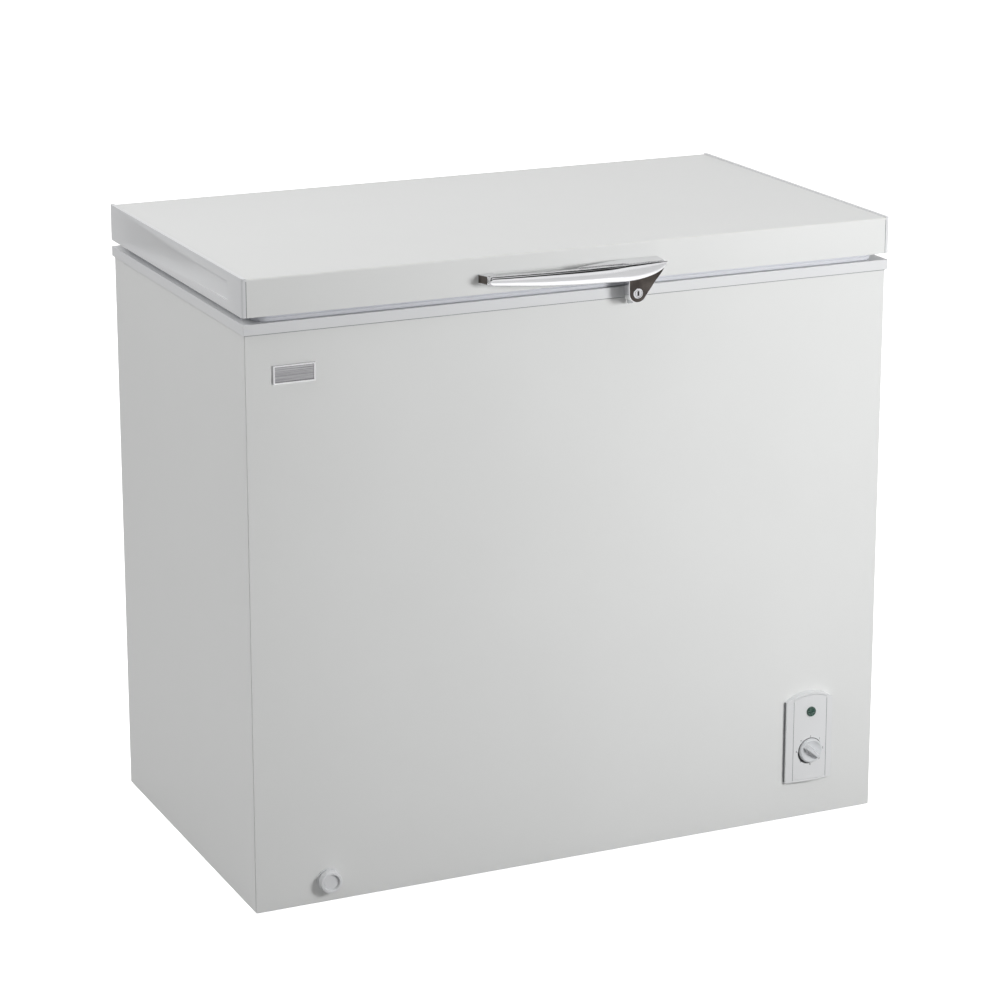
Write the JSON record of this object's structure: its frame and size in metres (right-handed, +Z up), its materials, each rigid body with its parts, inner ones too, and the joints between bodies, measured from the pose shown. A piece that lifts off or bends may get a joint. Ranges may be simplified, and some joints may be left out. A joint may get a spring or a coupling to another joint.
{
  "type": "chest freezer",
  "caption": "White chest freezer with a top-hinged insulated lid, chromed lock handle, dial control panel, pull-out drain and a hanging wire basket.",
  "frame": {"origin": "middle of the whole object's footprint, at the floor", "axes": "+X to the right seen from the front, +Y to the back, +Z up; the lid is shut"},
  "size_m": [0.945, 0.5995, 0.867],
  "materials": {
    "white_enamel": "satin white enamel",
    "galvanised": "plain galvanised steel",
    "grey_feet": "matt",
    "pu_foam": "open, matt",
    "embossed_aluminium": "embossed",
    "white_plastic": "satin",
    "aluminium_tube": "satin",
    "copper_tube": "bare copper, dull",
    "compressor_paint": "semi-gloss black",
    "black_rubber": "matt",
    "black_plastic": "matt",
    "zinc_plate": "bright zinc",
    "wire_cover": "matt sleeve",
    "knob_plastic": "satin",
    "green_lens": "clear gloss",
    "chrome": "mirror",
    "dark_chrome": "dark mirror",
    "badge_silver": "brushed",
    "gasket_vinyl": "matt",
    "basket_wire": "plastic coated",
    "spring_steel": "oiled"
  },
  "bodies": {
    "cabinet": {"front_panel": "white_enamel", "left_side_panel": "white_enamel", "right_side_panel": "white_enamel", "back_panel": "white_enamel", "base_pan": "galvanised", "feet": "grey_feet", "foam_body": "pu_foam", "inner_liner": "embossed_aluminium", "rim_frame": "white_plastic", "evaporator_tube": "aluminium_tube", "condenser_tube": "copper_tube", "bay_sheet": "galvanised", "compressor_base": "galvanised", "compressor": "compressor_paint", "compressor_grommets": "black_rubber", "compressor_bolts": "zinc_plate", "relay_cover": "black_plastic", "filter_drier": "copper_tube", "discharge_line": "copper_tube", "suction_line": "copper_tube", "wiring_harness": "wire_cover", "side_grille": "white_plastic", "rear_cover": "galvanised", "rear_screws": "zinc_plate", "cord_inlet": "black_plastic", "control_bezel": "white_plastic", "control_plate": "white_plastic", "lamp_lens": "green_lens", "lamp_body": "black_plastic", "thermostat_body": "galvanised", "drain_tube": "white_plastic", "badge_frame": "chrome", "badge_plate": "badge_silver", "lock_keeper": "zinc_plate", "hinge_brackets": "zinc_plate", "hinge_pins": "zinc_plate", "hinge_covers": "white_plastic", "hinge_springs": "spring_steel"},
    "lid": {"lid_skin": "white_enamel", "lid_cap_left": "white_plastic", "lid_cap_right": "white_plastic", "lid_foam": "pu_foam", "lid_liner": "white_plastic", "lid_gasket": "gasket_vinyl", "hinge_leaves": "zinc_plate", "leaf_screws": "zinc_plate", "handle_base": "chrome", "handle_grip": "chrome", "lock_housing": "dark_chrome"},
    "lock": {"lock_barrel": "chrome", "lock_cam": "zinc_plate"},
    "thermostat_dial": {"thermostat_knob": "knob_plastic", "thermostat_shaft": "zinc_plate"},
    "drain_spout": {"drain_spout": "white_plastic"},
    "drain_cap": {"drain_cap": "white_plastic"},
    "drain_plug": {"drain_plug": "black_rubber"},
    "hinge_pushers": {"hinge_pushers": "white_plastic"},
    "wire_basket": {"wire_basket": "basket_wire"}
  },
  "joints": [
    {"name": "lid_hinge", "type": "hinge", "parent": "cabinet", "child": "lid", "pos_m": [0, 0.28725, 0.812], "axis": [-1, 0, 0], "range_deg": [0, 80], "stiffness_Nm_per_rad": 6, "springref_deg": 100.27},
    {"name": "hinge_pusher_slide", "type": "slide", "parent": "cabinet", "child": "hinge_pushers", "axis": [0, 0, 1], "range_m": [0, 0.0071], "deforming": ["hinge_springs"]},
    {"name": "lock_turn", "type": "hinge", "parent": "lid", "child": "lock", "pos_m": [0.071, -0.28175, 0.8034], "axis": [0, -1, 0], "range_deg": [0, 90]},
    {"name": "thermostat_turn", "type": "hinge", "parent": "cabinet", "child": "thermostat_dial", "pos_m": [0.364, -0.27025, 0.108], "axis": [0, 1, 0], "range_deg": [0, 300]},
    {"name": "drain_pull", "type": "slide", "parent": "cabinet", "child": "drain_spout", "axis": [0, -1, 0], "range_m": [0, 0.025]},
    {"name": "drain_cap_turn", "type": "hinge", "parent": "drain_spout", "child": "drain_cap", "pos_m": [-0.366, -0.26675, 0.037], "axis": [0, -1, 0], "range_deg": [0, 180]},
    {"name": "drain_plug_lift", "type": "slide", "parent": "cabinet", "child": "drain_plug", "axis": [0, 0, 1], "range_m": [0, 0.03]},
    {"name": "basket_slide", "type": "slide", "parent": "cabinet", "child": "wire_basket", "axis": [1, 0, 0], "range_m": [0, 0.54]}
  ],
  "couplings": [
    {"joint": "hinge_pusher_slide", "follows": "lid_hinge", "m_per_rad": 0.005}
  ]
}
